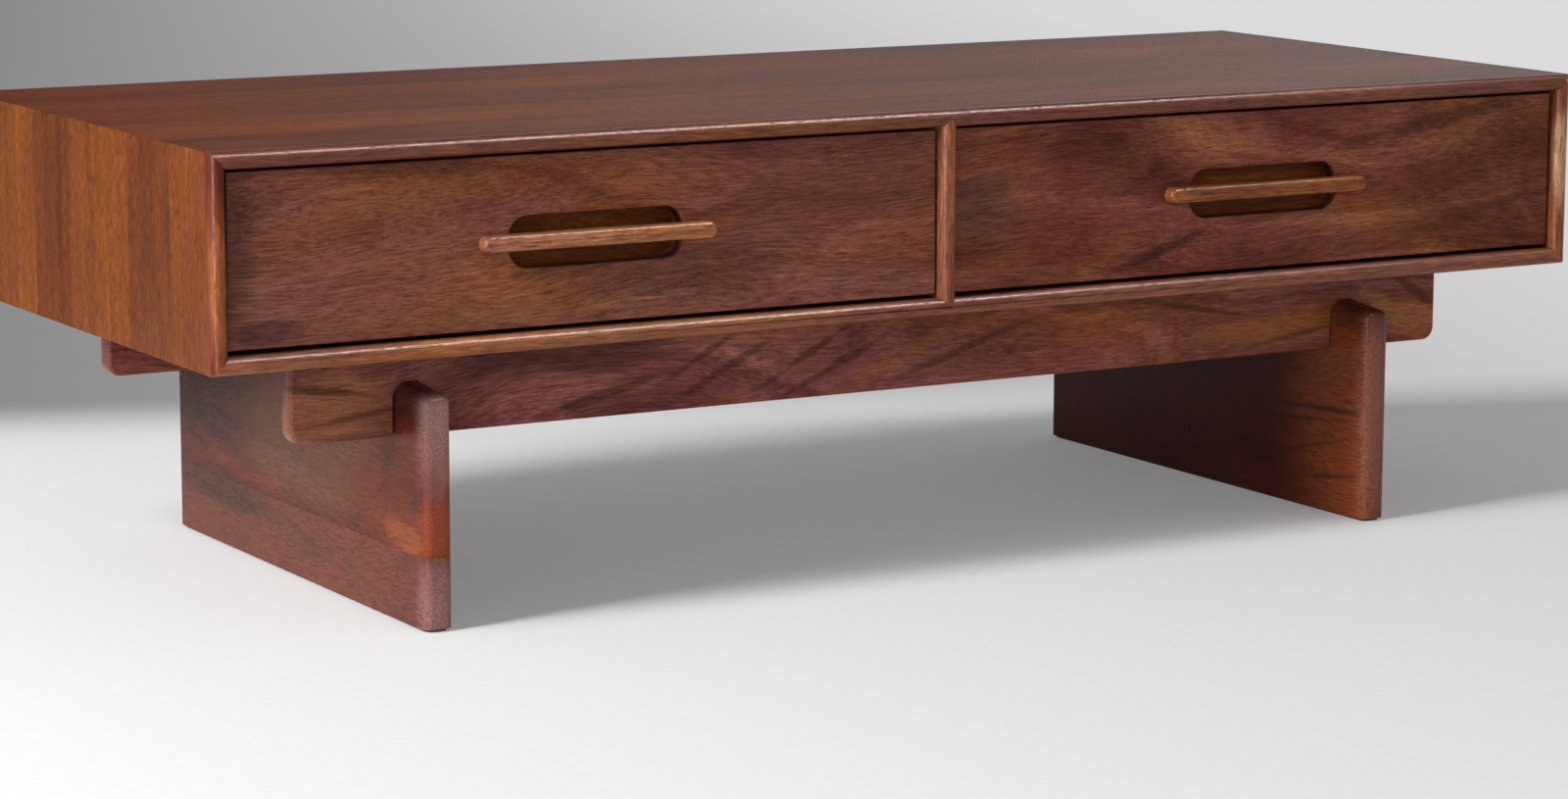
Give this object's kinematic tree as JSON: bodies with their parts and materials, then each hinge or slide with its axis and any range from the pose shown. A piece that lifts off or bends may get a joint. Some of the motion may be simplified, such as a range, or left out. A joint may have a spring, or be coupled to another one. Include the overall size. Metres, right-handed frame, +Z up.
{
  "type": "storage coffee table",
  "caption": "Low rectangular wooden coffee table: a mitred case on slab legs and lapped rails, with side-by-side drawers pulled by slats across finger cut-outs.",
  "frame": {"origin": "on the floor, under the middle of the table", "axes": "+Z up; +X along the table's length, to the right of someone who faces the drawers; the drawers open towards -Y"},
  "size_m": [1.372, 0.567, 0.4095],
  "materials": {
    "top_wood": "satin lacquer",
    "side_wood": "satin lacquer",
    "base_wood": "satin lacquer",
    "lipping_wood": "satin lacquer",
    "front_wood": "satin lacquer",
    "handle_wood": "satin lacquer",
    "box_wood": "clear lacquer",
    "panel_wood": "clear lacquer",
    "joint_wood": "bare",
    "runner_steel": "bright zinc",
    "screw_steel": "zinc",
    "ball_steel": "polished",
    "insert_brass": "turned",
    "foot_rubber": "matt black"
  },
  "bodies": {
    "case": {"top_panel": "top_wood", "bottom_panel": "side_wood", "left_side": "side_wood", "right_side": "side_wood", "centre_divider": "side_wood", "back_panel": "panel_wood", "mitre_splines": "joint_wood", "divider_dowels": "joint_wood", "front_top_lipping": "lipping_wood", "front_bottom_lipping": "lipping_wood", "front_left_lipping": "lipping_wood", "front_right_lipping": "lipping_wood", "divider_lipping": "lipping_wood", "back_top_lipping": "lipping_wood", "back_bottom_lipping": "lipping_wood", "back_left_lipping": "lipping_wood", "back_right_lipping": "lipping_wood", "left_leg": "base_wood", "right_leg": "base_wood", "front_rail": "base_wood", "rear_rail": "base_wood", "left_foot_strip": "foot_rubber", "right_foot_strip": "foot_rubber", "lap_screws": "screw_steel", "case_bolts": "screw_steel", "case_bolt_washers": "screw_steel", "rail_inserts": "insert_brass", "case_runner_screws": "screw_steel", "left_case_runners": "runner_steel", "right_case_runners": "runner_steel"},
    "left_drawer": {"left_drawer_front": "front_wood", "left_handle": "handle_wood", "left_handle_screws": "screw_steel", "left_drawer_box_front": "box_wood", "left_drawer_box_back": "box_wood", "left_drawer_left_side": "box_wood", "left_drawer_right_side": "box_wood", "left_drawer_bottom": "panel_wood", "left_drawer_runners": "runner_steel", "left_drawer_runner_screws": "screw_steel", "left_front_screws": "screw_steel"},
    "left_middle_runners": {"left_middle_runners": "runner_steel"},
    "left_outer_ball_cages": {"left_outer_ball_cages": "ball_steel"},
    "left_inner_ball_cages": {"left_inner_ball_cages": "ball_steel"},
    "right_drawer": {"right_drawer_front": "front_wood", "right_handle": "handle_wood", "right_handle_screws": "screw_steel", "right_drawer_box_front": "box_wood", "right_drawer_box_back": "box_wood", "right_drawer_left_side": "box_wood", "right_drawer_right_side": "box_wood", "right_drawer_bottom": "panel_wood", "right_drawer_runners": "runner_steel", "right_drawer_runner_screws": "screw_steel", "right_front_screws": "screw_steel"},
    "right_middle_runners": {"right_middle_runners": "runner_steel"},
    "right_outer_ball_cages": {"right_outer_ball_cages": "ball_steel"},
    "right_inner_ball_cages": {"right_inner_ball_cages": "ball_steel"}
  },
  "joints": [
    {"name": "left_drawer_slide", "type": "slide", "parent": "case", "child": "left_drawer", "axis": [0, -1, 0], "range_m": [0, 0.44]},
    {"name": "left_middle_runners_slide", "type": "slide", "parent": "case", "child": "left_middle_runners", "axis": [0, -1, 0], "range_m": [0, 0.22]},
    {"name": "left_outer_ball_cages_slide", "type": "slide", "parent": "case", "child": "left_outer_ball_cages", "axis": [0, -1, 0], "range_m": [0, 0.11]},
    {"name": "left_inner_ball_cages_slide", "type": "slide", "parent": "case", "child": "left_inner_ball_cages", "axis": [0, -1, 0], "range_m": [0, 0.33]},
    {"name": "right_drawer_slide", "type": "slide", "parent": "case", "child": "right_drawer", "axis": [0, -1, 0], "range_m": [0, 0.44]},
    {"name": "right_middle_runners_slide", "type": "slide", "parent": "case", "child": "right_middle_runners", "axis": [0, -1, 0], "range_m": [0, 0.22]},
    {"name": "right_outer_ball_cages_slide", "type": "slide", "parent": "case", "child": "right_outer_ball_cages", "axis": [0, -1, 0], "range_m": [0, 0.11]},
    {"name": "right_inner_ball_cages_slide", "type": "slide", "parent": "case", "child": "right_inner_ball_cages", "axis": [0, -1, 0], "range_m": [0, 0.33]}
  ],
  "couplings": [
    {"joint": "left_middle_runners_slide", "follows": "left_drawer_slide", "ratio": 0.5},
    {"joint": "left_outer_ball_cages_slide", "follows": "left_drawer_slide", "ratio": 0.25},
    {"joint": "left_inner_ball_cages_slide", "follows": "left_drawer_slide", "ratio": 0.75},
    {"joint": "right_middle_runners_slide", "follows": "right_drawer_slide", "ratio": 0.5},
    {"joint": "right_outer_ball_cages_slide", "follows": "right_drawer_slide", "ratio": 0.25},
    {"joint": "right_inner_ball_cages_slide", "follows": "right_drawer_slide", "ratio": 0.75}
  ]
}
